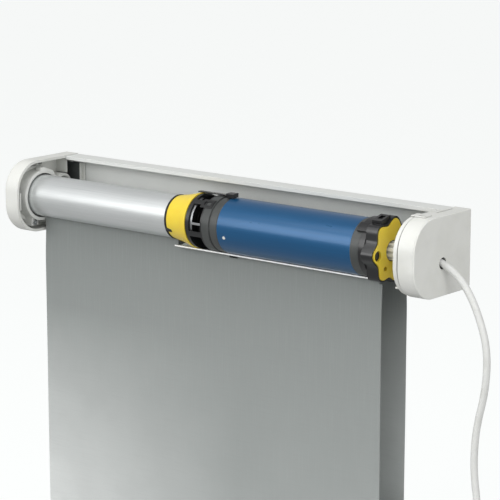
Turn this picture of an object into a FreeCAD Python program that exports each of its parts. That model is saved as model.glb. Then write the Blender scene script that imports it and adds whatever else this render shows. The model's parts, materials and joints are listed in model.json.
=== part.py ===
"""Motorised roller shade head: head rail, end caps, cut-away roller, tubular motor, shade and lead.

Frame: millimetres, +X along the roller towards the motor's cable end, +Y to the wall, +Z up.
The origin is the middle of the two wall screw holes, on the wall face of the head rail.
"""
import FreeCAD, Part
import math
import os
from types import SimpleNamespace

import Sketcher
from FreeCAD import Placement, Rotation, Vector

doc = FreeCAD.newDocument("roller_shade_motor")

# ---------------------------------------------------------------- driving dimensions

SIZES = {
    # case: head rail and end caps
    "case_length": 456.0,  # over both end caps
    "case_radius": 33.0,  # half the case's height
    "case_corner": 27.0,  # rounding of the caps' front corners
    "axis_depth": 47.5,  # from the wall to the roller's axis
    "cap_wall": 2.4,
    "left_cap_depth": 16.8,
    "right_cap_depth": 16.0,
    "cap_cover": 1.6,  # the snap-on cover of the right cap's side
    "rail_wall": 2.0,
    "rail_top_depth": 17.0,
    "rail_lip": 3.2,
    "rail_gap": 0.1,  # between the rail's ends and the caps
    "rail_drop": 0.6,  # the rail's top lies this far under the caps' top
    "port_size": 4.4,  # the rail's screw ports
    "wall_hole_pitch": 380.0,
    "wall_hole_radius": 2.25,
    # roller
    "tube_radius": 19.0,
    "tube_wall": 1.2,
    "tube_left": 214.8,  # left end of the narrow tube, left of the origin
    "tube_right": 44.0,  # its right end, left of the origin
    "sleeve_radius": 26.0,
    "sleeve_wall": 1.2,
    "sleeve_right": 172.0,
    # motor
    "motor_radius": 24.2,
    "motor_wall": 1.6,
    "motor_left": 17.3,
    "motor_right": 158.0,
    "head_right": 166.2,
    "crown_right": 181.5,
    "cage_left": 18.2,  # left of the origin
    "shaft_radius": 7.0,
    "pin_radius": 5.0,
    "running_gap": 0.05,
    "star_pin_radius": 8.0,
    # gears, both stages alike
    "gear_module": 1.0,
    "gear_width": 10.0,
    "axle_radius": 2.0,
    "carrier_radius": 16.4,
    "carrier_plate": 3.0,
    "stage_two_left": 25.0,
    "stage_one_left": 42.5,
    # shade
    "sheet_left": 207.1,
    "sheet_right": 174.3,
    "sheet_thickness": 0.6,
    "hem_depth": 31.0,  # from the wall to the hem tube's axis
    "hem_drop": 345.0,  # from the roller's axis down to the hem tube's axis
    "hem_radius": 16.0,
    "hem_wall": 1.2,
    # lead
    "lead_radius": 3.0,
    "lead_hole_radius": 4.9,
    "lead_exit_depth": 40.2,  # from the wall
    "lead_exit_drop": 5.0,
    "coil_middle": 228.0,
    "coil_drop": 257.0,
    "coil_mean_radius": 34.0,
    "coil_thickness": 18.3,  # across the turns, from inside to outside
}

SUN_TEETH = 12
PLANET_TEETH = 12
RING_TEETH = 36
PLANETS = 3
LOBES = 7


class Size:
    """A length that carries its number and the spreadsheet expression it comes from."""

    def __init__(self, value, text):
        self.value = float(value)
        self.text = text

    def combined(self, other, sign, result):
        return Size(result, f"({self.text} {sign} {as_size(other).text})")

    def __add__(self, other):
        return self.combined(other, "+", self.value + float(other))

    def __radd__(self, other):
        return as_size(other) + self

    def __sub__(self, other):
        return self.combined(other, "-", self.value - float(other))

    def __rsub__(self, other):
        return as_size(other) - self

    def __mul__(self, other):
        return self.combined(other, "*", self.value * float(other))

    __rmul__ = __mul__

    def __truediv__(self, other):
        return self.combined(other, "/", self.value / float(other))

    def __neg__(self):
        return Size(-self.value, f"(0 - {self.text})")

    def __float__(self):
        return self.value


def as_size(number):
    return number if isinstance(number, Size) else Size(number, f"({float(number)!r})")


sheet = doc.addObject("Spreadsheet::Sheet", "Sizes")
for row, (alias, number) in enumerate(SIZES.items(), start=1):
    sheet.set(f"A{row}", alias)
    sheet.set(f"B{row}", str(number))
    sheet.setAlias(f"B{row}", alias)
doc.recompute()
g = SimpleNamespace(**{alias: Size(number, f"Sizes.{alias}") for alias, number in SIZES.items()})

pieces = []  # every object that is written to a file of its own
half = g.case_length / 2
gap = 0.4  # ordinary clearance beside something that turns


# ---------------------------------------------------------------- building blocks

def bind(thing, prop, amount):
    """Set a property from a size and tie it to the sheet."""
    thing.setExpression(prop, as_size(amount).text)


def place(thing, x, y, z, rotation=None):
    """Put an object at a point, tied to the sheet."""
    thing.Placement = Placement(Vector(float(x), float(y), float(z)), rotation or Rotation())
    for axis, amount in (("x", x), ("y", y), ("z", z)):
        bind(thing, f"Placement.Base.{axis}", amount)


def new_body(label, y=0, z=0, x=0, rotation=None):
    body = doc.addObject("PartDesign::Body", label)
    body.Label = label
    place(body, x, y, z, rotation)
    pieces.append(body)
    return body


def origin_part(body, role):
    return next(part for part in body.Origin.OriginFeatures if part.Role == role)


def new_sketch(body, role, offset=0):
    """An empty sketch on one of the body's own planes, moved along the plane's normal."""
    sketch = body.newObject("Sketcher::SketchObject", body.Name + "_sketch")
    sketch.AttachmentSupport = [(origin_part(body, role), "")]
    sketch.MapMode = "FlatFace"
    sketch.AttachmentOffset = Placement(Vector(0, 0, float(offset)), Rotation())
    bind(sketch, "AttachmentOffset.Base.z", offset)
    return sketch


def fix_point(sketch, index, end, u, v):
    """Tie one point of a sketch to its two coordinates."""
    for kind, amount in (("DistanceX", u), ("DistanceY", v)):
        constraint = Sketcher.Constraint(kind, -1, 1, index, end, float(amount))
        number = sketch.addConstraint(constraint)
        sketch.setExpression(f"Constraints[{number}]", as_size(amount).text)


def draw_polygon(sketch, corners):
    """A closed outline of straight lines through the corners."""
    first = sketch.GeometryCount
    count = len(corners)
    points = [Vector(float(u), float(v), 0) for u, v in corners]
    for index in range(count):
        sketch.addGeometry(Part.LineSegment(points[index], points[(index + 1) % count]), False)
    for index in range(count):
        following = first + (index + 1) % count
        sketch.addConstraint(Sketcher.Constraint("Coincident", first + index, 2, following, 1))
    for index, (u, v) in enumerate(corners):
        fix_point(sketch, first + index, 1, u, v)
    return sketch


def draw_circle(sketch, u, v, radius):
    circle = Part.Circle(Vector(float(u), float(v), 0), Vector(0, 0, 1), float(radius))
    index = sketch.addGeometry(circle, False)
    fix_point(sketch, index, 3, u, v)
    number = sketch.addConstraint(Sketcher.Constraint("Radius", index, float(radius)))
    sketch.setExpression(f"Constraints[{number}]", as_size(radius).text)
    return sketch


def draw_d(sketch, back, front, radius, corner):
    """A D outline: flat back, nose at u = front, half its height the radius, front corners rounded."""
    middle_u = front + corner
    middle_v = radius - corner
    r, c, u, v = (float(amount) for amount in (radius, corner, middle_u, middle_v))
    first = None
    for v_middle, start in ((v, math.pi / 2), (-v, math.pi)):
        circle = Part.Circle(Vector(u, v_middle, 0), Vector(0, 0, 1), c)
        index = sketch.addGeometry(Part.ArcOfCircle(circle, start, start + math.pi / 2), False)
        first = index if first is None else first
    runs = (
        ((u - c, v), (u - c, -v)),
        ((u, -r), (float(back), -r)),
        ((float(back), -r), (float(back), r)),
        ((float(back), r), (u, r)),
    )
    for start, end in runs:
        sketch.addGeometry(Part.LineSegment(Vector(*start, 0), Vector(*end, 0)), False)
    upper, lower, nose, low, rear, top = range(first, first + 6)
    for one, two in ((upper, nose), (nose, lower), (lower, low), (low, rear), (rear, top), (top, upper)):
        sketch.addConstraint(Sketcher.Constraint("Coincident", one, 2, two, 1))
    for kind, index in (("Horizontal", low), ("Horizontal", top), ("Vertical", rear)):
        sketch.addConstraint(Sketcher.Constraint(kind, index))
    for arc, v_middle in ((upper, middle_v), (lower, -middle_v)):
        fix_point(sketch, arc, 3, middle_u, v_middle)
        number = sketch.addConstraint(Sketcher.Constraint("Radius", arc, c))
        sketch.setExpression(f"Constraints[{number}]", as_size(corner).text)
    ends = (
        ("DistanceX", upper, 1, middle_u),
        ("DistanceX", lower, 2, middle_u),
        ("DistanceX", rear, 1, back),
        ("DistanceY", upper, 2, middle_v),
        ("DistanceY", lower, 1, -middle_v),
    )
    for kind, index, end, amount in ends:
        number = sketch.addConstraint(Sketcher.Constraint(kind, -1, 1, index, end, float(amount)))
        sketch.setExpression(f"Constraints[{number}]", as_size(amount).text)
    return sketch


def pad(body, sketch, length, reverse=False):
    feature = body.newObject("PartDesign::Pad", body.Name + "_pad")
    feature.Profile = sketch
    feature.Reversed = reverse
    bind(feature, "Length", length)
    return feature


def pocket(body, sketch, length, reverse=False):
    """Cut a sketch out of the body; without reverse it cuts against the sketch's normal."""
    feature = body.newObject("PartDesign::Pocket", body.Name + "_pocket")
    feature.Profile = sketch
    feature.Reversed = reverse
    bind(feature, "Length", length)
    return feature


def around(body, feature, count, role="X_Axis"):
    """Repeat a feature evenly about an axis of the body."""
    pattern = body.newObject("PartDesign::PolarPattern", body.Name + "_round")
    pattern.Originals = [feature]
    pattern.Axis = (origin_part(body, role), [""])
    pattern.Angle = 360
    pattern.Occurrences = count
    body.Tip = pattern
    return pattern


def lathe(label, corners, angle=360, y=None, z=0, rotation=None):
    """A body turned about its own X axis from (x, radius) corners; by default on the roller's axis."""
    body = new_body(label, -g.axis_depth if y is None else y, z, rotation=rotation)
    sketch = draw_polygon(new_sketch(body, "XZ_Plane"), corners)
    feature = body.newObject("PartDesign::Revolution", label + "_turned")
    feature.Profile = sketch
    feature.ReferenceAxis = (sketch, ["H_Axis"])
    feature.Angle = angle
    return body


def ring(label, left, right, outer, inner, **where):
    """A plain ring or tube about X."""
    return lathe(label, [(left, inner), (right, inner), (right, outer), (left, outer)], **where)


def block(label, x, y, z):
    """A box given by its (low, high) along X, Y and Z."""
    body = new_body(label)
    corners = [(y[0], z[0]), (y[1], z[0]), (y[1], z[1]), (y[0], z[1])]
    pad(body, draw_polygon(new_sketch(body, "YZ_Plane", x[0]), corners), as_size(x[1]) - x[0])
    return body


def add_box(body, x, y, z, cut=False):
    """Add a box to a body, or cut it out."""
    corners = [(y[0], z[0]), (y[1], z[0]), (y[1], z[1]), (y[0], z[1])]
    sketch = draw_polygon(new_sketch(body, "YZ_Plane", x[0]), corners)
    length = as_size(x[1]) - x[0]
    return pocket(body, sketch, length, True) if cut else pad(body, sketch, length)


def add_rod(body, x, y, z, radius, cut=False):
    """Add a round rod along X to a body, or cut it out."""
    sketch = draw_circle(new_sketch(body, "YZ_Plane", x[0]), y, z, radius)
    length = as_size(x[1]) - x[0]
    return pocket(body, sketch, length, True) if cut else pad(body, sketch, length)


def round_edges(body, radius, wanted):
    """Round the edges of the body's last feature that the test picks."""
    doc.recompute()
    base = body.Tip
    names = [f"Edge{n}" for n, edge in enumerate(base.Shape.Edges, start=1) if wanted(edge)]
    feature = body.newObject("PartDesign::Fillet", body.Name + "_rounded")
    feature.Base = (base, names)
    feature.Radius = radius
    return feature


def solid(label, shape, x=0, y=0, z=0, rotation=None):
    """A piece whose shape comes from a formula that no sketch holds."""
    thing = doc.addObject("Part::Feature", label)
    thing.Label = label
    thing.Shape = shape
    place(thing, x, y, z, rotation)
    pieces.append(thing)
    return thing


def rod_shape(x0, x1, radius, y=0.0, z=0.0):
    start = Vector(float(x0), float(y), float(z))
    return Part.makeCylinder(float(radius), float(x1) - float(x0), start, Vector(1, 0, 0))


def extruded(points, x0, x1):
    """A closed outline of (y, z) points as a solid between two places along X."""
    corners = [Vector(float(x0), y, z) for y, z in points]
    face = Part.Face(Part.makePolygon(corners + corners[:1]))
    return face.extrude(Vector(float(x1) - float(x0), 0, 0))


def lies_at(edge, **wanted):
    """True if both ends and the middle of an edge share the given coordinates."""
    first, last = edge.ParameterRange
    points = [edge.valueAt(first), edge.valueAt(last), edge.valueAt((first + last) / 2)]
    return all(abs(getattr(p, axis) - float(v)) < 0.01 for p in points for axis, v in wanted.items())


# ---------------------------------------------------------------- head rail and its strip

rail_left = -half + g.left_cap_depth + g.rail_gap
rail_right = half - g.right_cap_depth - g.rail_gap
rail_top = g.case_radius - g.rail_drop
port_y = -g.rail_wall - g.port_size / 2
port_top_z = rail_top - g.rail_wall - g.port_size / 2
port_low_z = -g.case_radius + g.port_size / 2


def head_rail():
    body = new_body("head_rail")
    inner = -g.rail_wall
    port = g.port_size
    corners = [
        (0, -g.case_radius),
        (0, rail_top),
        (-g.rail_top_depth, rail_top),
        (-g.rail_top_depth, rail_top - g.rail_lip),
        (-g.rail_top_depth + 1.4, rail_top - g.rail_lip),
        (-g.rail_top_depth + 1.4, rail_top - g.rail_wall),
        (inner - port, rail_top - g.rail_wall),
        (inner - port, rail_top - g.rail_wall - port),
        (inner, rail_top - g.rail_wall - port),
        (inner, -g.case_radius + port),
        (inner - port, -g.case_radius + port),
        (inner - port, -g.case_radius),
    ]
    sketch = draw_polygon(new_sketch(body, "YZ_Plane", rail_left), corners)
    pad(body, sketch, rail_right - rail_left)
    ports = new_sketch(body, "YZ_Plane", rail_left)
    for z in (port_top_z, port_low_z):
        draw_circle(ports, port_y, z, 1.25)
    pocket(body, ports, rail_right - rail_left, True)
    holes = new_sketch(body, "XZ_Plane")
    for side in (-1, 1):
        draw_circle(holes, g.wall_hole_pitch / 2 * side, 0, g.wall_hole_radius)
    pocket(body, holes, g.rail_wall, True)


def rear_sheet_strip():
    """The angle that holds the rear layer's top edge on the head rail's back."""
    front = -g.hem_depth + g.hem_radius + 0.4 + g.sheet_thickness
    body = block("rear_sheet_strip", (-205, 200), (front + 0.5, -g.rail_wall), (-21, -19.4))
    add_box(body, (-205, 200), (front + 0.5, front + 1.8), (-30, -19.4))


# ---------------------------------------------------------------- left end

nose = -g.axis_depth - g.case_radius  # the caps' frontmost line
floor_left = -half + g.cap_wall  # inner face of the left cap's side
rim_left = -half + g.left_cap_depth


def left_end_cap():
    body = new_body("left_end_cap")
    outline = draw_d(new_sketch(body, "YZ_Plane", -half), 0, nose, g.case_radius, g.case_corner)
    pad(body, outline, g.left_cap_depth)
    round_edges(body, 3.0, lambda edge: lies_at(edge, x=-half))
    hollow = new_sketch(body, "YZ_Plane", floor_left)
    wall = g.cap_wall
    draw_d(hollow, -wall, nose + wall, g.case_radius - wall, g.case_corner - wall)
    pocket(body, hollow, g.left_cap_depth - g.cap_wall, True)
    for z in (port_top_z, port_low_z):
        boss = (z - g.port_size / 2 - 0.4, z + g.port_size / 2 + 0.4)
        add_box(body, (-half + 1, rim_left), (port_y - 3, -1), boss)
    for y in (-46.0, -39.5):
        add_box(body, (floor_left - 0.5, floor_left + 6.0), (y, y + 1.6), (26.4, 31.5))
    for z in ((16.5, 31.5), (-31.5, -5.0)):
        add_box(body, (floor_left - 0.5, rim_left - 1.0), (-14.6, -13.4), z)
    add_box(body, (rim_left - 1.0, -199.5), (-g.rail_wall - 1.2, -g.rail_wall - 0.1), (-18.8, 25.8))
    add_box(body, (-202.6, -201.6), (-7.0, -g.rail_wall - 0.1), (-18.8, 25.8))
    for z in (17.5, -16.5):
        ledge = (-g.rail_wall - 1.2, -g.cap_wall + 0.5)
        add_box(body, (floor_left - 0.5, rim_left), ledge, (z - 1.2, z + 1.2))
    holes = new_sketch(body, "YZ_Plane", -half)
    for z in (port_top_z, port_low_z):
        draw_circle(holes, port_y, z, 1.3)
    pocket(body, holes, g.left_cap_depth, True)
    seats = new_sketch(body, "YZ_Plane", -half)
    for z in (port_top_z, port_low_z):
        draw_circle(seats, port_y, z, 2.4)
    pocket(body, seats, g.cap_wall, True)


def rail_end_plug():
    """A soft block that fills the rail's end between the cap's tongue and its rib."""
    block("rail_end_plug", (rim_left - 8.5, -203.2), (-6.0, -g.rail_wall - 1.3), (-18.8, 25.2))


def left_bearing_bracket():
    """The white carrier of the idler pin: base disc, collar round the tube, hook and rear lobe."""
    body = new_body("left_bearing_bracket", -g.axis_depth)
    start = floor_left + 0.1
    mouth = g.tube_radius + 1.5
    add_rod(body, (start, start + 3), 0, 0, 26.0)
    add_rod(body, (start, rim_left + 0.8), 0, 0, 23.4)
    add_rod(body, (start, rim_left + 0.6), 27.2, 6.0, 10.6)
    hook = new_sketch(body, "YZ_Plane", rim_left - 5)
    draw_polygon(hook, [(-3, 14), (15, 12), (15, 19), (13, 21.5), (1, 26), (-3, 25.6)])
    pad(body, hook, 5.8)
    add_box(body, (start, rim_left - 3), (-12.0, -4.0), (-27.5, -20.0))
    add_box(body, (start, rim_left - 2), (-27.6, -26.2), (-11.0, 5.0))
    add_box(body, (start, start + 3), (-27.6, -20.0), (-11.0, 5.0))
    add_rod(body, (start + 3, rim_left + 2), 27.2, 6.0, 8.4, cut=True)
    add_rod(body, (start + 3, rim_left + 2), 0, 0, mouth, cut=True)
    add_rod(body, (start, start + 3), 0, 0, g.pin_radius, cut=True)


def bracket_screws():
    """The two screws that hold the bearing bracket to the cap."""
    start = floor_left + 0.1
    shapes = []
    for y, z, head_at in ((-8.6, -24.6, rim_left - 3), (27.2, 6.0, start + 3)):
        head = rod_shape(head_at, head_at + 1.5, 2.6, y, z)
        slot_y = rod_shape(head_at + 0.7, head_at + 1.6, 1.0, y, z)
        shapes.append(head.cut(slot_y))
    solid("bracket_screws", Part.makeCompound(shapes), 0, -g.axis_depth, 0)


def idler_pieces():
    start = floor_left + 0.1
    ring("idler_pin", start, start + 30, g.pin_radius, 0)
    bore = 11.0
    plug = g.tube_radius - g.tube_wall - 0.1
    left = -g.tube_left
    lathe("idler_insert", [
        (left - 1.6, bore),
        (left - 1.6, g.tube_radius),
        (left - 0.1, g.tube_radius),
        (left - 0.1, plug),
        (left + 26, plug),
        (left + 26, bore + 2),
        (left + 16, bore + 2),
        (left + 16, bore - 2),
        (left + 14, bore - 2),
        (left + 14, bore),
    ])
    ring("idler_bearing", left + 5, left + 13.9, bore, g.pin_radius + g.running_gap)


# ---------------------------------------------------------------- right end

cap_left = half - g.right_cap_depth
screw_seat_left = -half + g.cap_wall
screw_seat_right = half - g.cap_cover - 2.0
flange_left = 206.3
lead_y = -g.lead_exit_depth
hole_z = -g.lead_exit_drop - 0.8
clip_slot_x = (cap_left + 2.0, cap_left + 8.0)
clip_slot_y = (-55.6, -52.8)


def right_end_cap():
    body = new_body("right_end_cap")
    outline = draw_d(new_sketch(body, "YZ_Plane", cap_left), 0, nose, g.case_radius, g.case_corner)
    depth = g.right_cap_depth - g.cap_cover - 0.05
    pad(body, outline, depth)
    round_edges(body, 3.0, lambda edge: lies_at(edge, y=0, z=-g.case_radius))
    hollow = new_sketch(body, "YZ_Plane", cap_left)
    wall = g.cap_wall
    draw_d(hollow, -wall, nose + wall, g.case_radius - wall, g.case_corner - wall)
    pocket(body, hollow, depth - g.cap_wall, True)
    for z in (port_top_z, port_low_z):
        boss = (z - g.port_size / 2 - 0.4, z + g.port_size / 2 + 0.4)
        add_box(body, (cap_left, cap_left + depth - 1), (port_y - 3, -1), boss)
    over = g.case_radius + 1
    add_box(body, (half - 12.7, half - 11.4), (-32.6, -8.8), (g.case_radius - 3, over), True)
    add_box(body, clip_slot_x, clip_slot_y, (g.case_radius - 3, over), True)
    holes = new_sketch(body, "YZ_Plane", cap_left)
    for z in (port_top_z, port_low_z):
        draw_circle(holes, port_y, z, 1.3)
    draw_circle(holes, lead_y, hole_z, g.lead_hole_radius)
    pocket(body, holes, g.right_cap_depth, True)
    seats = new_sketch(body, "YZ_Plane", screw_seat_right)
    for z in (port_top_z, port_low_z):
        draw_circle(seats, port_y, z, 2.8)
    pocket(body, seats, 4, True)


def right_cap_cover():
    """The snap-on cover that hides the cap's screws."""
    body = new_body("right_cap_cover")
    sketch = new_sketch(body, "YZ_Plane", half - g.cap_cover)
    draw_d(sketch, 0, nose, g.case_radius, g.case_corner)
    pad(body, sketch, g.cap_cover)
    round_edges(body, 3.0, lambda edge: lies_at(edge, y=0, z=-g.case_radius))
    round_edges(body, 0.9, lambda edge: lies_at(edge, x=half))
    add_rod(body, (half - g.cap_cover, half), lead_y, hole_z, g.lead_hole_radius, cut=True)


def right_cap_flange():
    """The inner plate that carries the motor's head, in front of the head rail."""
    body = new_body("right_cap_flange")
    sketch = new_sketch(body, "YZ_Plane", flange_left)
    draw_d(sketch, -g.rail_top_depth - 1.0, nose + 0.4, g.case_radius - 0.4, g.case_corner + 1)
    pad(body, sketch, 4.5)
    round_edges(body, 1.6, lambda edge: lies_at(edge, x=flange_left))
    neck = new_sketch(body, "YZ_Plane", flange_left + 4.5)
    draw_d(neck, -g.rail_top_depth - 1.0, nose + 3.2, g.case_radius - 3.2, g.case_corner)
    pad(body, neck, cap_left - flange_left - 4.6)
    add_rod(body, (flange_left, cap_left), -g.axis_depth, 0, 5.4, cut=True)
    add_box(body, (flange_left - 12.0, flange_left), (-58.0, -44.0), (-28.2, -26.8))


def right_cap_clip():
    """The release clip across the flange and the cap's top, with its slot."""
    top = g.case_radius + 1.0
    left = flange_left + 1.8
    body = block("right_cap_clip", (left, cap_left + 9.6), (-57.0, -47.5), (g.case_radius + 0.05, top))
    add_box(body, (left, cap_left - 0.2), (-54.0, -48.5), (g.case_radius - 0.35, top))
    add_box(body, clip_slot_x, clip_slot_y, (g.case_radius, top + 1), True)


def cap_screws():
    """Two screws from each end cap into the rail's ports."""
    shapes = []
    for head_x, tip_x in ((screw_seat_left, rail_left + 9), (screw_seat_right, rail_right - 9)):
        step = 1.0 if float(tip_x) > float(head_x) else -1.0
        ends = sorted((float(head_x), float(tip_x)))
        head_ends = sorted((float(head_x) - 1.6 * step, float(head_x)))
        for z in (port_top_z, port_low_z):
            shank = rod_shape(ends[0], ends[1], 1.2, port_y, z)
            shapes.append(shank.fuse(rod_shape(head_ends[0], head_ends[1], 2.3, port_y, z)))
    solid("cap_screws", Part.makeCompound(shapes))


# ---------------------------------------------------------------- roller

def roller_tube():
    inner = g.tube_radius - g.tube_wall
    ring("roller_tube", -g.tube_left, -g.tube_right, g.tube_radius, inner)


SLEEVE_FRONT = 18.0  # degrees in front of straight down where the cut-away sleeve begins
SLEEVE_ARC = 155.0  # degrees of wall that are left, round by the back


def motor_sleeve():
    """The wide part of the roller, cut away at the front and top so that the motor shows."""
    start = Rotation(Vector(1, 0, 0), 180 - SLEEVE_FRONT)
    inner = g.sleeve_radius - g.sleeve_wall
    outer = g.sleeve_radius
    left = -g.tube_right
    corners = [(left, inner), (g.sleeve_right, inner), (g.sleeve_right, outer), (left, outer)]
    lathe("motor_sleeve", corners, angle=SLEEVE_ARC, rotation=start)


NOTCH = (-16.75, -8.5, 2.0)  # y, z and radius of the wheel's keyway at its left end


def drive_wheel():
    plug = g.tube_radius - g.tube_wall - 0.1
    left = -g.tube_right
    right = -g.cage_left - 0.6
    rim = g.sleeve_radius - g.sleeve_wall - 0.1
    body = lathe("drive_wheel", [
        (left - 17, g.shaft_radius),
        (left - 17, plug),
        (left + 0.1, plug),
        (left + 0.1, g.tube_radius + 0.3),
        (left + 4, g.tube_radius + 1.0),
        (left + 10, g.tube_radius + 2.0),
        (left + 16, g.tube_radius + 3.4),
        (left + 21, rim - 0.9),
        (right, rim),
        (right, rim - 3),
        (left + 20, rim - 4.4),
        (left + 13, g.shaft_radius + 7),
        (right - 3, g.shaft_radius + 4),
        (right - 3, g.shaft_radius),
    ])
    add_rod(body, (left, left + 5.6), NOTCH[0], NOTCH[1], NOTCH[2], cut=True)


def tube_end_ring():
    """The soft ring on the tube's end, with the key that sits in the wheel's keyway."""
    left = -g.tube_right
    body = new_body("tube_end_ring", -g.axis_depth)
    add_rod(body, (left - 1.9, left - 0.1), 0, 0, g.tube_radius + 0.7)
    add_rod(body, (left - 1.0, left + 5.5), NOTCH[0], NOTCH[1], NOTCH[2] - 0.1)
    add_rod(body, (left - 3, left + 0.05), 0, 0, g.tube_radius + 0.05, cut=True)


arm_low = g.sleeve_radius - g.sleeve_wall + 0.05
arm_reach = arm_low + 3.6
ARM_END = (12.5, 20.5)  # its raised end, along the roller


def torque_arm():
    """The black arm from the wheel's rim over the motor's nose, with its raised end."""
    arm = shell_patch(-g.cage_left - 4.4, ARM_END[0] + 1, arm_low, arm_low + 0.9, -4.0, 12.0)
    arm = arm.fuse(shell_patch(ARM_END[0], ARM_END[1], arm_low, arm_reach, 4.0, 15.0))
    solid("torque_arm", arm, 0, -g.axis_depth, 0)


def wheel_clip():
    left = -g.tube_right - 17
    ring("wheel_clip", left - 1.3, left - 0.1, g.shaft_radius + 3.5, g.shaft_radius)


def lobed(base, lift, x0, x1):
    """A rod of round section with even lobes, one of them just behind the top, as one smooth wall."""
    points = []
    for step in range(LOBES * 8):
        angle = math.tau * step / (LOBES * 8)
        radius = base + lift * math.cos(LOBES * (angle - math.radians(80.0)))
        points.append(Vector(float(x0), radius * math.cos(angle), radius * math.sin(angle)))
    curve = Part.BSplineCurve()
    curve.interpolate(points, PeriodicFlag=True)
    outline = Part.Face(Part.Wire([curve.toShape()]))
    return outline.extrude(Vector(float(x1) - float(x0), 0, 0))


STAR_HOLES = ((4.4, -20.2, -1.6), (2.0, -9.7, -13.6), (4.4, 20.2, 1.6), (2.0, 9.7, 13.6))  # radius, y, z
WING_TOP = 28.6
WING_REACH = math.hypot(WING_TOP, 6.5)  # of the wing's corners from the axis


def crown_sleeve():
    """The black ring that carries the sleeve's right end on the motor's head, with two flaps to its left."""
    bore = 19.4
    plug = g.sleeve_radius - g.sleeve_wall - 0.15
    start = g.sleeve_right.value + 0.1
    body = lobed(26.1, 2.4, g.sleeve_right + 0.1, g.crown_right + 1.9)
    body = body.cut(lobed(24.9, 2.4, g.crown_right, g.crown_right + 2))
    body = body.fuse(rod_shape(g.head_right + gap, g.sleeve_right + 0.2, plug))
    low = g.sleeve_radius - g.sleeve_wall - 0.3
    body = body.fuse(shell_patch(161.5, start + 1, low, low + 2.1, 39.0, 20.0))
    body = body.fuse(shell_patch(163.5, start + 1, low, low + 1.6, 8.0, 42.0))
    wing = Part.makeBox(g.crown_right.value - start, 13.0, WING_TOP - 22.0, Vector(start, -6.5, 22.0))
    wing = wing.cut(Part.makeBox(4.6, 6.6, 3.0, Vector(start + 2.6, -2.6, WING_TOP - 1.6)))
    wing.rotate(Vector(0, 0, 0), Vector(1, 0, 0), 14.0)
    body = body.fuse(wing).cut(rod_shape(g.head_right, g.crown_right + 1, bore))
    for radius, y, z in STAR_HOLES:
        body = body.cut(rod_shape(start + 2, g.crown_right + 1, radius, y, z))
    solid("crown_sleeve", body, 0, -g.axis_depth, 0)


def crown_star():
    """The yellow end plate of the crown, with its lightening holes."""
    left = g.crown_right + 0.05
    right = g.crown_right + 2.3
    plate = lobed(24.3, 2.4, left, right).cut(rod_shape(left - 1, right + 1, 8.8))
    for radius, y, z in STAR_HOLES:
        plate = plate.cut(rod_shape(left - 1, right + 1, radius, y, z))
    solid("crown_star", plate, 0, -g.axis_depth, 0)


# ---------------------------------------------------------------- motor, outside

def motor_tube():
    inner = g.motor_radius - g.motor_wall
    ring("motor_tube", g.motor_left, g.motor_right, g.motor_radius, inner)


def gearbox_cage():
    """The black windowed nose that holds the output shaft's bush."""
    left = -g.cage_left
    outer = g.motor_radius - 0.2
    body = lathe("gearbox_cage", [
        (left, g.shaft_radius + 2),
        (left, outer),
        (-0.2, outer),
        (-0.2, outer - 1.6),
        (left + 3, outer - 1.6),
        (left + 3, g.shaft_radius + 4.5),
        (left + 9, g.shaft_radius + 4.5),
        (left + 9, g.shaft_radius + 2),
    ])
    window = new_sketch(body, "XY_Plane")
    draw_polygon(window, [(left + 3.4, -12), (-1.6, -12), (-1.6, 12), (left + 3.4, 12)])
    opening = pocket(body, window, g.motor_radius + 1, True)
    around(body, opening, 5)


def shaft_bush():
    left = -g.cage_left
    ring("shaft_bush", left, left + 9, g.shaft_radius + 2, g.shaft_radius + g.running_gap)


def cage_spring():
    """The bright retaining spring inside the cage: a hoop with one tongue along the motor."""
    outer = g.motor_radius - 1.9
    left = -g.cage_left + 3.8
    hoop = shell_patch(left, left + 2.2, outer - 0.8, outer, 66.0, 100.0)
    tongue = shell_patch(left, -0.9, outer - 0.8, outer, 86.0, 5.0)
    solid("cage_spring", hoop.fuse(tongue), 0, -g.axis_depth, 0)


def cage_collar():
    """Two rings and the spigot that join the cage to the motor tube."""
    outer = g.motor_radius
    seat = g.motor_left
    lathe("cage_collar", [
        (-0.2, 19.0),
        (-0.2, outer - 1.9),
        (0.0, outer - 0.1),
        (7.4, outer - 0.1),
        (8.0, outer - 1.3),
        (9.0, outer - 1.3),
        (9.6, outer - 0.3),
        (seat - 1.2, outer - 0.3),
        (seat - 0.1, outer - 0.9),
        (seat - 0.1, outer - g.motor_wall - 0.1),
        (seat + 0.5, outer - g.motor_wall - 0.1),
        (seat + 0.5, 19.0),
    ])


def shell_patch(x0, x1, inner, outer, middle, width):
    """A curved tile on the motor; middle and width in degrees, from straight up towards the front."""
    tile = rod_shape(x0, x1, outer).cut(rod_shape(x0, x1, inner))
    points = [(0.0, 0.0)]
    for turn in (middle - width / 2, middle, middle + width / 2):
        angle = math.radians(turn)
        points.append((-40.0 * math.sin(angle), 40.0 * math.cos(angle)))
    return tile.common(extruded(points, x0, x1))


def latch_clip():
    """The spring frame that locks the collar to the cage."""
    top = float(g.motor_radius) + 0.45
    low = float(g.motor_radius) - 0.05
    frame = shell_patch(-6.0, 6.6, low, top, 38.0, 22.0)
    frame = frame.cut(shell_patch(-3.4, 3.8, low - 1, top + 1, 38.0, 9.0))
    solid("latch_clip", frame, 0, -g.axis_depth, 0)


def motor_head():
    """The fixed head: ring against the motor tube, neck through the crown."""
    right = g.crown_right - 0.6
    inner = g.motor_radius - g.motor_wall - 0.1
    lathe("motor_head", [
        (g.motor_right - 7, 3.5),
        (g.motor_right - 7, inner),
        (g.motor_right + 0.1, inner),
        (g.motor_right + 0.1, g.motor_radius - 0.1),
        (g.head_right, g.motor_radius - 0.1),
        (g.head_right, 19.0),
        (right, 19.0),
        (right, 3.5),
    ])


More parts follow.
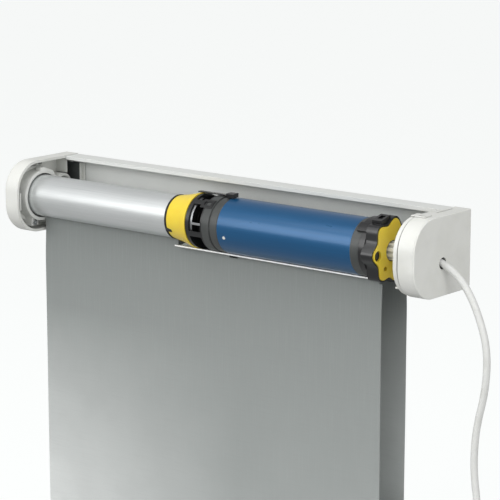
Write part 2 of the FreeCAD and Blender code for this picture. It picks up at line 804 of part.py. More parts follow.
def head_star_pin():
    """The splined pin that stops the motor turning, seated in the flange."""
    left = g.crown_right - 0.5
    pin = rod_shape(left, flange_left - 0.1, g.star_pin_radius)
    for step in range(10):
        angle = math.tau * step / 10
        y = 7.7 * math.cos(angle)
        z = 7.7 * math.sin(angle)
        pin = pin.cut(rod_shape(left, flange_left, 1.2, y, z))
    pin = pin.cut(rod_shape(left - 1, flange_left + 1, 3.4))
    solid("head_star_pin", pin, 0, -g.axis_depth, 0)


def tube_rivets():
    """Flush rivets that hold the motor tube on its collar and head."""
    shapes = []
    for x, turn in ((24.7, 15.0), (152.5, 75.0)):
        for side in (-1.0, 1.0):
            foot = Vector(x, 0, float(g.motor_radius) - 1.65)
            rivet = Part.makeCylinder(1.4, 1.9, foot, Vector(0, 0, 1))
            rivet.rotate(Vector(0, 0, 0), Vector(1, 0, 0), 90.0 * side + turn)
            shapes.append(rivet)
    solid("tube_rivets", Part.makeCompound(shapes), 0, -g.axis_depth, 0)


# ---------------------------------------------------------------- motor, inside

def gear_outline(teeth, tip, root, slack, phase=0.0):
    """Involute tooth outline; tip and root radii, slack added to each flank in mm, phase in radians."""
    pressure = math.radians(25.0)
    pitch = g.gear_module.value * teeth / 2
    base = pitch * math.cos(pressure)
    half_tooth = math.pi / (2 * teeth) + slack / pitch
    involute_at_pitch = math.tan(pressure) - pressure
    low = max(root, base)
    flank = []
    for step in range(5):
        radius = low + (tip - low) * step / 4
        turn = math.acos(min(1.0, base / radius))
        flank.append((radius, half_tooth + involute_at_pitch - (math.tan(turn) - turn)))
    if root < low:
        flank.insert(0, (root, flank[0][1]))
    points = []
    for tooth in range(teeth):
        middle = math.tau * tooth / teeth + phase
        for radius, offset in flank:
            points.append((radius * math.cos(middle - offset), radius * math.sin(middle - offset)))
        for radius, offset in reversed(flank):
            points.append((radius * math.cos(middle + offset), radius * math.sin(middle + offset)))
    return points


GEAR_SLACK = 0.09
ADDENDUM = 0.85
DEDENDUM = 1.1
pitch_sun = SUN_TEETH / 2 * g.gear_module.value
pitch_planet = PLANET_TEETH / 2 * g.gear_module.value
pitch_ring = RING_TEETH / 2 * g.gear_module.value


def external_gear(teeth, x0, x1, phase):
    pitch = teeth / 2 * g.gear_module.value
    outline = gear_outline(teeth, pitch + ADDENDUM, pitch - DEDENDUM, -GEAR_SLACK, phase)
    return extruded(outline, x0, x1)


def ring_gear():
    left = g.motor_left + 0.7
    right = 60.0
    phase = math.pi / RING_TEETH
    cutter = gear_outline(RING_TEETH, pitch_ring + DEDENDUM, pitch_ring - 0.7, GEAR_SLACK, phase)
    outer = g.motor_radius - g.motor_wall - 0.1
    body = rod_shape(left, right, outer).cut(extruded(cutter, float(left) - 1, right + 1))
    solid("ring_gear", body, 0, -g.axis_depth, 0)


def planet_middle(number):
    angle = math.tau * number / PLANETS
    reach = pitch_sun + pitch_planet
    return reach * math.cos(angle), reach * math.sin(angle)


def planets(stage, left):
    """Three planet gears of one stage, each a piece of its own."""
    for number in range(PLANETS):
        y, z = planet_middle(number)
        angle = math.tau * number / PLANETS
        phase = math.pi / PLANET_TEETH + angle
        gear = external_gear(PLANET_TEETH, 0, g.gear_width, phase)
        gear = gear.cut(rod_shape(-1, g.gear_width + 1, g.axle_radius + g.running_gap))
        solid(f"planet_{stage}_{number + 1}", gear, left, y - g.axis_depth, z)


def carrier(left):
    """A planet carrier's plate and axles; the plate is left of the gears."""
    plate_left = float(left) - gap - float(g.carrier_plate)
    shape = rod_shape(plate_left, float(left) - gap, g.carrier_radius)
    for number in range(PLANETS):
        y, z = planet_middle(number)
        shape = shape.fuse(rod_shape(plate_left + 1, left + g.gear_width - 0.5, g.axle_radius, y, z))
    return shape


def stage_one_carrier():
    """The first carrier, with the second stage's sun on its left."""
    shape = carrier(g.stage_one_left)
    start = g.stage_two_left + 0.2
    sun = external_gear(SUN_TEETH, start, g.stage_two_left + g.gear_width + 0.8, 0.0)
    neck = rod_shape(start, g.stage_one_left - 1.5, 4.0)
    solid("stage_one_carrier", shape.fuse(neck).fuse(sun), 0, -g.axis_depth, 0)


def output_carrier():
    """The second carrier, made with the output shaft."""
    shape = carrier(g.stage_two_left)
    shaft = rod_shape(-g.tube_right - 20, g.stage_two_left - 2.0, g.shaft_radius)
    shape = shape.fuse(shaft)
    solid("output_carrier", shape, 0, -g.axis_depth, 0)


ROTOR_LEFT = 70.0
ROTOR_RIGHT = 108.0


def rotor():
    """The motor's shaft, with the first sun, the laminated core and the brake disc."""
    start = float(g.stage_one_left) + 0.2
    shape = external_gear(SUN_TEETH, start, g.stage_one_left + g.gear_width + 0.8, 0.0)
    shape = shape.fuse(rod_shape(start, 124.0, 2.6))
    core = rod_shape(ROTOR_LEFT, ROTOR_RIGHT, 12.5)
    for step in range(12):
        angle = math.tau * step / 12
        slot = rod_shape(ROTOR_LEFT - 1, ROTOR_RIGHT + 1, 1.1, 12.3 * math.cos(angle), 12.3 * math.sin(angle))
        core = core.cut(slot)
    shape = shape.fuse(core).fuse(rod_shape(120.0, 122.5, 14.0))
    solid("rotor", shape, 0, -g.axis_depth, 0)


def stator_pieces():
    can = g.motor_radius - g.motor_wall - 0.3
    lathe("stator_can", [
        (61.0, 4.6),
        (61.0, can),
        (114.0, can),
        (114.0, can - 1.4),
        (63.0, can - 1.4),
        (63.0, 4.6),
    ])
    ring("stator_core", 68.0, 110.0, can - 1.5, 13.1)
    ring("rear_bearing_plate", 112.0, 113.8, can - 1.5, 2.65)
    ring("front_bush", 61.0, 66.0, 4.5, 2.65)
    ring("brake_magnet", 124.6, 132.0, 16.0, 0)
    ring("brake_housing", 116.0, 132.0, can, 16.1)


def electronics():
    body = block("circuit_board", (134.0, 150.0), (-g.axis_depth - 17, -g.axis_depth + 17), (-1.6, 0.0))
    for x, y, width in ((136.0, -12.0, 5.0), (137.0, 3.0, 4.0), (143.0, -5.0, 3.5)):
        near = y - g.axis_depth
        add_box(body, (x, x + width), (near, near + width), (-0.2, 2.0))
    solid("capacitor", rod_shape(134.5, 149.5, 6.0, 0, 8.4), 0, -g.axis_depth, 0)


def inner_wires():
    """The three conductors from the motor's head through the splined pin to the lead's bush."""
    for_each = []
    for step in range(3):
        angle = math.tau * step / 3
        y = 1.0 * math.cos(angle) - g.axis_depth.value
        z = 1.0 * math.sin(angle)
        route = [
            Vector(152.0, y, z),
            Vector(208.0, y, z),
            Vector(214.0, y + 3.6, z - 0.9),
            Vector(219.4, y + 7.3, z - 2.4),
        ]
        for_each.append(pipe_shape("inner wire", route, 0.8))
    solid("inner_wires", Part.makeCompound(for_each))


# ---------------------------------------------------------------- shade

layer_reach = g.hem_radius + 0.4 + g.sheet_thickness / 2  # from the hem's axis to a layer's middle


def front_sheet():
    """The front layer; its top edge clears the narrow tube, the sleeve, the arm and the crown's wing."""
    body = new_body("front_sheet")
    start = g.hem_depth + layer_reach - g.sheet_thickness / 2
    sketch = new_sketch(body, "XZ_Plane", start)
    draw_polygon(sketch, [
        (-g.sheet_left, -g.hem_drop + 0.3),
        (g.sheet_right, -g.hem_drop + 0.3),
        (g.sheet_right, -WING_REACH - gap),
        (g.sleeve_right - 0.5, -WING_REACH - gap),
        (g.sleeve_right - 0.5, -g.sleeve_radius - 0.8),
        (ARM_END[1] + 0.6, -g.sleeve_radius - 0.8),
        (ARM_END[1] + 0.6, -arm_reach - gap),
        (ARM_END[0] - 0.6, -arm_reach - gap),
        (ARM_END[0] - 0.6, -g.sleeve_radius - 0.8),
        (-g.tube_right - 2, -g.sleeve_radius - 0.8),
        (-g.tube_right - 2, -g.tube_radius - gap),
        (-g.sheet_left, -g.tube_radius - gap),
    ])
    pad(body, sketch, g.sheet_thickness)


def rear_sheet():
    """The rear layer, fixed to the head rail's strip."""
    body = new_body("rear_sheet")
    start = g.hem_depth - layer_reach - g.sheet_thickness / 2
    sketch = new_sketch(body, "XZ_Plane", start)
    draw_polygon(sketch, [
        (-g.sheet_left, -g.hem_drop + 0.3),
        (g.sheet_right, -g.hem_drop + 0.3),
        (g.sheet_right, -20.0),
        (-g.sheet_left, -20.0),
    ])
    pad(body, sketch, g.sheet_thickness)


def hem_pieces():
    """The hem tube, the fabric's loop under it and the two end plugs."""
    where = {"y": -g.hem_depth, "z": -g.hem_drop}
    left, right = -g.sheet_left, g.sheet_right
    ring("hem_tube", left, right, g.hem_radius, g.hem_radius - g.hem_wall, **where)
    inner = g.hem_radius + 0.1
    outer = layer_reach + g.sheet_thickness / 2
    corners = [(left, inner), (right, inner), (right, outer), (left, outer)]
    half_turn = Rotation(Vector(1, 0, 0), 90)
    lathe("hem_fabric_loop", corners, angle=180, rotation=half_turn, **where)
    plug = g.hem_radius - g.hem_wall - 0.1
    shapes = []
    for x0, x1, plug_to in ((left - 2.4, left - 0.1, left + 12), (right + 0.1, right + 2.4, right - 12)):
        ends = sorted((float(x0 + x1) / 2, float(plug_to)))
        shapes.append(rod_shape(x0, x1, g.hem_radius + 0.2).fuse(rod_shape(ends[0], ends[1], plug)))
    solid("hem_end_plugs", Part.makeCompound(shapes), 0, -g.hem_depth, -g.hem_drop)


# ---------------------------------------------------------------- lead

def lead_grommet():
    """The rubber bush in the cap's hole; its bore slopes down with the lead."""
    wall = cap_left + g.right_cap_depth - g.cap_cover - 0.05
    shape = rod_shape(wall - g.cap_wall - 5.0, wall - g.cap_wall, 7.0, 0, -0.8)
    shape = shape.fuse(rod_shape(wall - g.cap_wall - 1, wall, g.lead_hole_radius - 0.05, 0, -0.8))
    mouth = Vector(LEAD_ROUTE[0][0], 0, LEAD_ROUTE[0][1] + g.lead_exit_drop.value)
    bore = Part.makeCylinder(float(g.lead_radius), 6.0, mouth, slope_out)
    wires = Part.makeCylinder(2.0, 12.0, mouth - slope_out * 10.0, slope_out)
    solid("lead_grommet", shape.cut(bore).cut(wires), 0, lead_y, -g.lead_exit_drop)


EXIT_SLOPE = 22.0  # degrees down, at the hole
slope_out = Vector(math.cos(math.radians(EXIT_SLOPE)), 0, -math.sin(math.radians(EXIT_SLOPE)))

# The lead's route from the grommet to the coil, as (x, z) in the plane of the hole.
LEAD_ROUTE = [
    (225.6, -5.0),
    (238.0, -10.0),
    (251.5, -22.6),
    (262.6, -41.6),
    (272.6, -70.0),
    (271.6, -104.0),
    (262.8, -138.0),
    (261.4, -172.0),
    (266.4, -206.0),
    (268.1, -238.0),
]
# The tail from the coil's inner turn down to the stripped end, as (x, z).
TAIL_ROUTE = [
    (256.1, -276.0),
    (255.4, -301.0),
    (252.4, -328.0),
]
TAIL_OFFSET = 15.3  # the tail lies on the coil's wall side


def pipe_shape(label, points, radius):
    """A round tube along straight runs joined by tangent arcs."""
    edges = []
    radii = []
    at = points[0]
    for before, corner, after in zip(points, points[1:], points[2:]):
        into, out = corner - before, after - corner
        half_turn = into.getAngle(out) / 2
        reach = 0.45 * min(into.Length, out.Length)
        radii.append(reach / math.tan(half_turn))
        start = corner - into.normalize() * reach
        end = corner + out.normalize() * reach
        towards = (start + end) * 0.5 - corner
        sag = radii[-1] * (1 / math.cos(half_turn) - 1)
        middle = corner + towards.normalize() * sag
        edges.append(Part.LineSegment(at, start).toShape())
        edges.append(Part.Arc(start, middle, end).toShape())
        at = end
    edges.append(Part.LineSegment(at, points[-1]).toShape())
    wire = Part.Wire(edges)
    section = Part.Circle(points[0], points[1] - points[0], float(radius)).toShape()
    shape = wire.makePipeShell([Part.Wire([section])], True, True)
    expected = math.pi * float(radius) ** 2 * wire.Length
    print(f"{label}: length {wire.Length:.1f}, volume {shape.Volume:.1f} of {expected:.1f}, "
          f"radii {[round(radius) for radius in radii]}")
    if abs(shape.Volume / expected - 1) > 0.01:
        raise RuntimeError(f"{label} has the wrong volume")
    return shape


def lead_runs():
    """The lead's two free runs: down to the coil, and from the coil to the stripped end."""
    runs = []
    for label, route, y in (("lead", LEAD_ROUTE, lead_y), ("tail", TAIL_ROUTE, lead_y + TAIL_OFFSET)):
        points = [Vector(x, float(y), z) for x, z in route]
        runs.append(pipe_shape(label, points, g.lead_radius))
    solid("lead", Part.makeCompound(runs))


def lead_coil():
    """The outer shape of the wound lead: a ring about Y."""
    inner = g.coil_mean_radius - g.coil_thickness / 2
    outer = g.coil_mean_radius + g.coil_thickness / 2
    body = new_body("lead_coil", lead_y, -g.coil_drop, g.coil_middle)
    sketch = draw_polygon(new_sketch(body, "XY_Plane"), [
        (inner, -12.25),
        (outer, -12.25),
        (outer, 12.25),
        (inner + 7.0, 18.3),
        (inner, 18.3),
    ])
    feature = body.newObject("PartDesign::Revolution", "lead_coil_turned")
    feature.Profile = sketch
    feature.ReferenceAxis = (sketch, ["V_Axis"])
    feature.Angle = 360


def coil_tie():
    """A band round the coil's turns at its top."""
    coil = float(g.coil_mean_radius)
    middle = Vector(g.coil_middle.value, float(lead_y) + 3.0, -g.coil_drop.value + coil)
    outer = Part.makeBox(5.0, 34.0, 21.4, middle - Vector(2.5, 17.0, 10.7))
    inner = Part.makeBox(7.0, 31.4, 18.9, middle - Vector(3.5, 15.7, 9.45))
    solid("coil_tie", outer.cut(inner))


def lead_end():
    """The stripped end: three insulated conductors with crimped ferrules."""
    x, z = TAIL_ROUTE[-1]
    before_x, before_z = TAIL_ROUTE[-2]
    along = Vector(x - before_x, 0, z - before_z).normalize()
    start = Vector(x, float(lead_y) + TAIL_OFFSET, z)
    shapes = []
    for step in range(3):
        angle = math.tau * step / 3
        side = Vector(math.cos(angle), math.sin(angle), 0) * 1.55
        wire = Part.makeCylinder(1.25, 18.0, start + side, along)
        ferrule = Part.makeCylinder(0.8, 7.0, start + side + along * 18.0, along)
        shapes.append(wire.fuse(ferrule))
    solid("lead_end", Part.makeCompound(shapes))


# ---------------------------------------------------------------- the whole object

def build():
    head_rail()
    rear_sheet_strip()
    left_end_cap()
    rail_end_plug()
    left_bearing_bracket()
    bracket_screws()
    idler_pieces()
    right_end_cap()
    right_cap_cover()
    right_cap_flange()
    right_cap_clip()
    cap_screws()
    roller_tube()
    motor_sleeve()
    drive_wheel()
    tube_end_ring()
    torque_arm()
    wheel_clip()
    crown_sleeve()
    crown_star()
    motor_tube()
    gearbox_cage()
    shaft_bush()
    cage_spring()
    cage_collar()
    latch_clip()
    motor_head()
    head_star_pin()
    tube_rivets()
    ring_gear()
    planets("two", g.stage_two_left)
    planets("one", g.stage_one_left)
    stage_one_carrier()
    output_carrier()
    rotor()
    stator_pieces()
    electronics()
    inner_wires()
    front_sheet()
    rear_sheet()
    hem_pieces()
    lead_grommet()
    lead_runs()
    lead_coil()
    coil_tie()
    lead_end()


def check():
    """Stop on any failed feature, empty or invalid shape, or a cut that removes nothing."""
    for thing in doc.Objects:
        if "Invalid" in thing.State or "Error" in thing.State:
            raise RuntimeError(f"{thing.Name} failed: {thing.State}")
        if thing.TypeId in ("PartDesign::Pocket", "PartDesign::Groove"):
            if thing.Shape.Volume > thing.BaseFeature.Shape.Volume - 0.01:
                raise RuntimeError(f"{thing.Name} cuts nothing")
    for piece in pieces:
        if piece.Shape.isNull() or not piece.Shape.isValid() or piece.Shape.Volume <= 0:
            raise RuntimeError(f"{piece.Label} has no valid shape")


def write():
    os.makedirs("parts", exist_ok=True)
    for piece in pieces:
        piece.Shape.exportStep(f"parts/{piece.Label}.step")
        box = piece.Shape.BoundBox
        print(f"{piece.Label}: {len(piece.Shape.Solids)} solid(s), x {box.XMin:.1f} to {box.XMax:.1f}, "
              f"y {box.YMin:.1f} to {box.YMax:.1f}, z {box.ZMin:.1f} to {box.ZMax:.1f}")


build()
doc.recompute()
check()
write()
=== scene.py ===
"""A cut-away roller shade head with its tubular motor: looks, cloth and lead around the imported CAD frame."""

import json
import math

import bmesh
import bpy
from mathutils import Matrix, Vector, noise


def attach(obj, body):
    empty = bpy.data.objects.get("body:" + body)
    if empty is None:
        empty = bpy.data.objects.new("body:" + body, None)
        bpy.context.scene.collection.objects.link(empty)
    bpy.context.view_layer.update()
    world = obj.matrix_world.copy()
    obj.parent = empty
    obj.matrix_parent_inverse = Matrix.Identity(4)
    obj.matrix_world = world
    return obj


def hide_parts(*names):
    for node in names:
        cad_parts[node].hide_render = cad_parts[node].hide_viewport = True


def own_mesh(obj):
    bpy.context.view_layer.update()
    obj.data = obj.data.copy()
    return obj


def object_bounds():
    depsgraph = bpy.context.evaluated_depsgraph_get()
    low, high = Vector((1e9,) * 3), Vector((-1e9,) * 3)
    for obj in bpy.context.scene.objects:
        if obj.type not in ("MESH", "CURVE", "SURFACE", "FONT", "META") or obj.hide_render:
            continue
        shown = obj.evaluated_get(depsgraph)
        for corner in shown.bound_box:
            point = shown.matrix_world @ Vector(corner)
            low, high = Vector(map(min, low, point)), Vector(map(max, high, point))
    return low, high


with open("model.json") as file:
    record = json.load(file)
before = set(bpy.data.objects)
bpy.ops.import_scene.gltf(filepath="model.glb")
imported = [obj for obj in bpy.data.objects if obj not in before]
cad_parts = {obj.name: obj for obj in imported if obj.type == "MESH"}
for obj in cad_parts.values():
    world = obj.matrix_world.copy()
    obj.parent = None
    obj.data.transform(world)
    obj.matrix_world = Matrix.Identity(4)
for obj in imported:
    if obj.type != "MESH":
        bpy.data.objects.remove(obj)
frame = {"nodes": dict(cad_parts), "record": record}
cad_low, cad_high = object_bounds()
scene = bpy.context.scene


def mm(*values):
    """Millimetres to metres."""
    return Vector(values) / 1000


# ---------------------------------------------------------------- camera

AZIMUTH = math.radians(39.07)
ELEVATION = math.radians(11.88)
DISTANCE = 1.950
SENSOR = 36.0  # mm
FOCAL = 2260 / 500 * SENSOR
AIM_RIGHT, AIM_UP = -0.0267, 0.0233  # how far the view's centre lies from the roller's middle

right = Vector((math.cos(AZIMUTH), math.sin(AZIMUTH), 0))
ahead = Vector((
    -math.sin(AZIMUTH) * math.cos(ELEVATION),
    math.cos(AZIMUTH) * math.cos(ELEVATION),
    -math.sin(ELEVATION),
))
up = right.cross(ahead)
camera = bpy.data.objects.new("camera", bpy.data.cameras.new("camera"))
scene.collection.objects.link(camera)
camera.data.lens = FOCAL
camera.data.sensor_width = SENSOR
camera.data.clip_start = 0.05
camera.data.clip_end = 200
place = mm(0, -47.5, 0) - right * AIM_RIGHT - up * AIM_UP - ahead * DISTANCE
camera.matrix_world = Matrix.Translation(place) @ Matrix((right, up, -ahead)).transposed().to_4x4()
scene.camera = camera


# ---------------------------------------------------------------- node materials

def linear(r, g, b):
    """An sRGB colour of 0 to 255 as a linear one with alpha."""
    def one(v):
        v = v / 255
        return v / 12.92 if v <= 0.04045 else ((v + 0.055) / 1.055) ** 2.4
    return (one(r), one(g), one(b), 1.0)


class Look:
    """A Principled material; what varies over the surface comes from textures in the object's own metres."""

    def __init__(self, name, colour, roughness, metallic=0.0, **sockets):
        self.material = bpy.data.materials.new(name)
        self.material.use_nodes = True
        self.tree = self.material.node_tree
        self.shader = self.tree.nodes["Principled BSDF"]
        self.colour = linear(*colour)
        self.set(self.shader, {"Base Color": self.colour, "Roughness": roughness, "Metallic": metallic})
        self.set(self.shader, {key.replace("_", " "): value for key, value in sockets.items()})
        self.material.diffuse_color = self.colour
        self.where = self.tree.nodes.new("ShaderNodeTexCoord").outputs["Object"]
        self.normal = None

    def set(self, node, values):
        for key, value in values.items():
            if isinstance(value, bpy.types.NodeSocket):
                self.tree.links.new(value, node.inputs[key])
            else:
                node.inputs[key].default_value = value

    def node(self, kind, inputs=(), **settings):
        node = self.tree.nodes.new("ShaderNode" + kind)
        for key, value in settings.items():
            setattr(node, key, value)
        self.set(node, dict(inputs))
        return node

    def stretched(self, stretch):
        """The coordinates, with features made longer along each axis by its stretch."""
        if tuple(stretch) == (1, 1, 1):
            return self.where
        scale = tuple(1 / amount for amount in stretch)
        return self.node("Mapping", {"Vector": self.where, "Scale": scale}).outputs["Vector"]

    def noise(self, size, stretch=(1, 1, 1), detail=2.0, rough=0.5):
        """Cloudy noise with features of about that size in metres, from 0 to 1."""
        inputs = {"Vector": self.stretched(stretch), "Scale": 1 / size, "Detail": detail, "Roughness": rough}
        return self.node("TexNoise", inputs).outputs["Fac"]

    def cells(self, size, feature="F1"):
        """The distance to the nearest cell's centre, or to its edge."""
        inputs = {"Vector": self.where, "Scale": 1 / size}
        return self.node("TexVoronoi", inputs, feature=feature).outputs["Distance"]

    def bands(self, pitch, axis, distortion=0.0):
        """Sine bands across one axis, from 0 to 1."""
        inputs = {"Vector": self.where, "Scale": math.tau / (20 * pitch), "Distortion": distortion}
        return self.node("TexWave", inputs, wave_type="BANDS", bands_direction=axis).outputs["Fac"]

    def spread(self, value, low, high, to_low=0.0, to_high=1.0):
        """Maps a value between two limits onto two others."""
        inputs = {"Value": value, "From Min": low, "From Max": high, "To Min": to_low, "To Max": to_high}
        return self.node("MapRange", inputs).outputs["Result"]

    def maths(self, operation, a, b=0.0):
        node = self.node("Math", operation=operation)
        self.set(node, {0: a, 1: b})
        return node.outputs["Value"]

    def along(self, axis):
        """The place along one axis, in metres."""
        return self.node("SeparateXYZ", {"Vector": self.where}).outputs[axis]

    def tint(self, factor, colour):
        """Mixes another colour over the present one."""
        present = self.shader.inputs["Base Color"]
        source = present.links[0].from_socket if present.links else tuple(present.default_value)
        node = self.node("Mix", data_type="RGBA")
        self.set(node, {0: factor, 6: source, 7: linear(*colour)})
        self.tree.links.new(node.outputs[2], present)

    def roughen(self, factor, low, high):
        """Varies the roughness between two values."""
        self.set(self.shader, {"Roughness": self.spread(factor, 0.0, 1.0, low, high)})

    def relief(self, height, depth):
        """Adds bumps of that depth in metres."""
        inputs = {"Height": height, "Distance": depth, "Strength": 1.0}
        if self.normal is not None:
            inputs["Normal"] = self.normal
        self.normal = self.node("Bump", inputs).outputs["Normal"]
        self.set(self.shader, {"Normal": self.normal})

    def rounded(self, radius):
        """Softens hard edges as a moulding or a bend does."""
        self.normal = self.node("Bevel", {"Radius": radius}, samples=6).outputs["Normal"]
        self.set(self.shader, {"Normal": self.normal})

    def paint_hollow_shade(self, colour, reach, amount=1.0):
        """Paints shade into deep corners and hollows: darkens the colour where the ambient occlusion finds
        little open space.
        """
        open_share = self.node("AmbientOcclusion", {"Distance": reach}, samples=8).outputs["AO"]
        self.tint(self.spread(open_share, 0.75, 0.15, 0.0, amount), colour)

    def paint_edge_highlight(self, colour, amount):
        """Paints highlights on the edges, in uneven patches: a lighter colour where the softened normal turns
        away from the flat one.
        """
        soft = self.node("Bevel", {"Radius": 0.0006}, samples=6).outputs["Normal"]
        flat = self.node("NewGeometry").outputs["Normal"]
        alike = self.node("VectorMath", {0: soft, 1: flat}, operation="DOT_PRODUCT").outputs["Value"]
        edges = self.spread(alike, 0.96, 0.84)
        patches = self.spread(self.noise(0.006, detail=4.0), 0.42, 0.62, 0.25, 1.0)
        self.tint(self.maths("MULTIPLY", self.maths("MULTIPLY", edges, patches), amount), colour)


def moulded(name, colour, roughness, grain=0.0006, depth=0.00001, shade=None, edge=0.0003, **sockets):
    """Injection-moulded plastic: a fine spark-eroded grain, faint flow marks and soft edges."""
    look = Look(name, colour, roughness, **sockets)
    look.rounded(edge)
    look.relief(look.noise(grain, detail=3.0), depth)
    look.relief(look.noise(0.03, (3, 1, 1), detail=1.0), 0.00008)
    look.roughen(look.noise(0.012, detail=4.0, rough=0.6), roughness - 0.07, roughness + 0.09)
    if shade:
        look.tint(look.spread(look.noise(0.022, detail=3.0), 0.42, 0.75), shade)
    return look


# painted highlight: the sleeve's lower cut edge, found by these, is tinted near white and made hardly metallic
CUT_FACE = (0.0, -0.951, 0.309)  # which way the sleeve's lower cut edge faces
PAINTED_CUT_HIGHLIGHT_HEIGHTS = (-0.0210, -0.0225)  # the cut edge fades in between these heights


def make_looks():
    """One material for each of the record's slots."""
    looks = {}

    white = moulded("white_plastic", (231, 232, 227), 0.36, shade=(223, 224, 218), Coat_Weight=0.25,
                    Coat_Roughness=0.22, Subsurface_Weight=0.04, Subsurface_Radius=(0.004, 0.004, 0.003))
    # painted shade: the white plastic is darker in its corners and hollows
    white.paint_hollow_shade((124, 127, 126), 0.014, 0.5)
    looks["cap_white"] = white

    inner = moulded("inner_white_plastic", (228, 229, 225), 0.42, shade=(217, 219, 214), Coat_Weight=0.12,
                    Coat_Roughness=0.3)
    # painted shade: the inner white plastic is darker in its corners and hollows
    inner.paint_hollow_shade((130, 134, 134), 0.010, 0.3)
    looks["cap_inner_white"] = inner

    rail = Look("rail_powder_coat", (226, 228, 225), 0.44, Coat_Weight=0.1, Coat_Roughness=0.35)
    rail.rounded(0.0004)
    rail.relief(rail.noise(0.0011, detail=2.0), 0.000018)
    rail.relief(rail.noise(0.02, (8, 1, 1), detail=1.0), 0.00002)
    rail.roughen(rail.noise(0.008, (4, 1, 1), detail=4.0), 0.36, 0.54)
    rail.tint(rail.spread(rail.noise(0.05, (2, 1, 1), detail=3.0), 0.45, 0.8), (218, 221, 218))
    # painted shade: the rail is darker in its corners and inside, where shade falls
    rail.paint_hollow_shade((104, 105, 105), 0.03, 0.55)
    looks["rail_white"] = rail

    metal = Look("satin_aluminium", (228, 231, 231), 0.33, 0.7)
    metal.rounded(0.00025)
    streaks = metal.noise(0.0005, (120, 1, 1), detail=4.0, rough=0.6)
    metal.relief(streaks, 0.000004)
    metal.relief(metal.noise(0.02, (8, 1, 1), detail=1.0), 0.00006)
    metal.roughen(metal.noise(0.0012, (90, 1, 1), detail=3.0), 0.26, 0.44)
    metal.tint(metal.spread(streaks, 0.35, 0.75), (216, 220, 220))
    metal.tint(metal.spread(metal.noise(0.03, (2, 1, 1), detail=4.0), 0.55, 0.85, 0.0, 0.5), (206, 212, 209))
    # painted highlight on the sleeve's lower cut edge: tinted near white and made hardly metallic
    cut_face = metal.node("TexCoord").outputs["Normal"]
    facing = metal.node("VectorMath", {0: cut_face, 1: CUT_FACE}, operation="DOT_PRODUCT")
    edge = metal.maths("MULTIPLY", metal.spread(facing.outputs["Value"], 0.9, 0.98),
                       metal.spread(metal.along("Z"), *PAINTED_CUT_HIGHLIGHT_HEIGHTS))
    metal.tint(edge, (252, 253, 252))
    metal.set(metal.shader, {"Metallic": metal.spread(edge, 0.0, 1.0, 0.7, 0.05)})
    looks["aluminium"] = metal

    yellow = moulded("yellow_plastic", (247, 218, 62), 0.34, shade=(240, 207, 50), Coat_Weight=0.35,
                     Coat_Roughness=0.2, Subsurface_Weight=0.15, Subsurface_Radius=(0.006, 0.004, 0.001))
    # painted highlights on the edges, in uneven patches
    yellow.paint_edge_highlight((255, 236, 150), 0.5)
    looks["yellow_plastic"] = yellow

    black = moulded("black_plastic", (20, 21, 23), 0.3, grain=0.0008, depth=0.000012, shade=(14, 15, 17),
                    Specular_IOR_Level=0.6, Coat_Weight=0.25, Coat_Roughness=0.18)
    # painted shade in corners and hollows, and painted highlights on the edges
    black.paint_hollow_shade((3, 3, 4), 0.005, 1.0)
    black.paint_edge_highlight((70, 72, 74), 0.25)
    looks["black_plastic"] = black

    grey = moulded("dark_grey_plastic", (72, 75, 74), 0.36, shade=(62, 65, 64))
    # painted shade in corners and hollows, and painted highlights on the edges
    grey.paint_hollow_shade((34, 36, 37), 0.006, 0.4)
    grey.paint_edge_highlight((110, 112, 114), 0.3)
    looks["dark_grey_plastic"] = grey

    blue = Look("blue_lacquer", (2, 84, 132), 0.32, 0.35, Coat_Weight=0.45, Coat_Roughness=0.18)
    blue.rounded(0.0003)
    brushed = blue.noise(0.0007, (80, 1, 1), detail=3.0)
    blue.relief(brushed, 0.000005)
    blue.relief(blue.noise(0.0016, detail=2.0), 0.000006)
    blue.roughen(blue.noise(0.004, (6, 1, 1), detail=4.0), 0.24, 0.38)
    blue.tint(blue.spread(brushed, 0.35, 0.8, 0.0, 0.6), (3, 76, 122))
    # painted highlights on the edges, in uneven patches
    blue.paint_edge_highlight((120, 148, 172), 0.7)
    looks["motor_blue"] = blue

    def steel(name, colour, low, high, metallic=1.0):
        look = Look(name, colour, (low + high) / 2, metallic)
        look.rounded(0.00015)
        look.relief(look.noise(0.0004, (1, 12, 12), detail=3.0), 0.000005)
        look.roughen(look.noise(0.004, detail=5.0, rough=0.65), low, high)
        look.tint(look.spread(look.noise(0.009, detail=4.0), 0.45, 0.75), tuple(0.86 * c for c in colour))
        return look

    looks["steel"] = steel("turned_steel", (178, 180, 182), 0.2, 0.42)
    looks["zinc_steel"] = steel("bright_zinc", (204, 206, 208), 0.14, 0.32)
    looks["bronze"] = steel("sintered_bronze", (176, 132, 84), 0.36, 0.58)

    core = steel("laminated_core", (96, 98, 102), 0.38, 0.56)
    core.relief(core.bands(0.001, "X"), 0.00006)
    looks["core_steel"] = core

    board = Look("circuit_board", (20, 84, 48), 0.34, Coat_Weight=0.3, Coat_Roughness=0.2)
    tracks = board.spread(board.cells(0.0032, "DISTANCE_TO_EDGE"), 0.04, 0.09)
    board.tint(tracks, (14, 64, 36))
    board.tint(board.spread(board.cells(0.0055), 0.16, 0.13), (196, 188, 150))
    board.relief(tracks, 0.00004)
    looks["board"] = board

    can = Look("capacitor_sleeve", (38, 42, 52), 0.25, Coat_Weight=0.4)
    can.rounded(0.0006)
    can.relief(can.noise(0.002, detail=2.0), 0.00002)
    can.tint(can.spread(can.along("Y"), -0.0425, -0.0420), (176, 178, 180))
    looks["capacitor_case"] = can

    rubber = moulded("moulded_rubber", (30, 30, 30), 0.62, grain=0.0009, depth=0.00002, shade=(38, 38, 37))
    looks["black_rubber"] = rubber

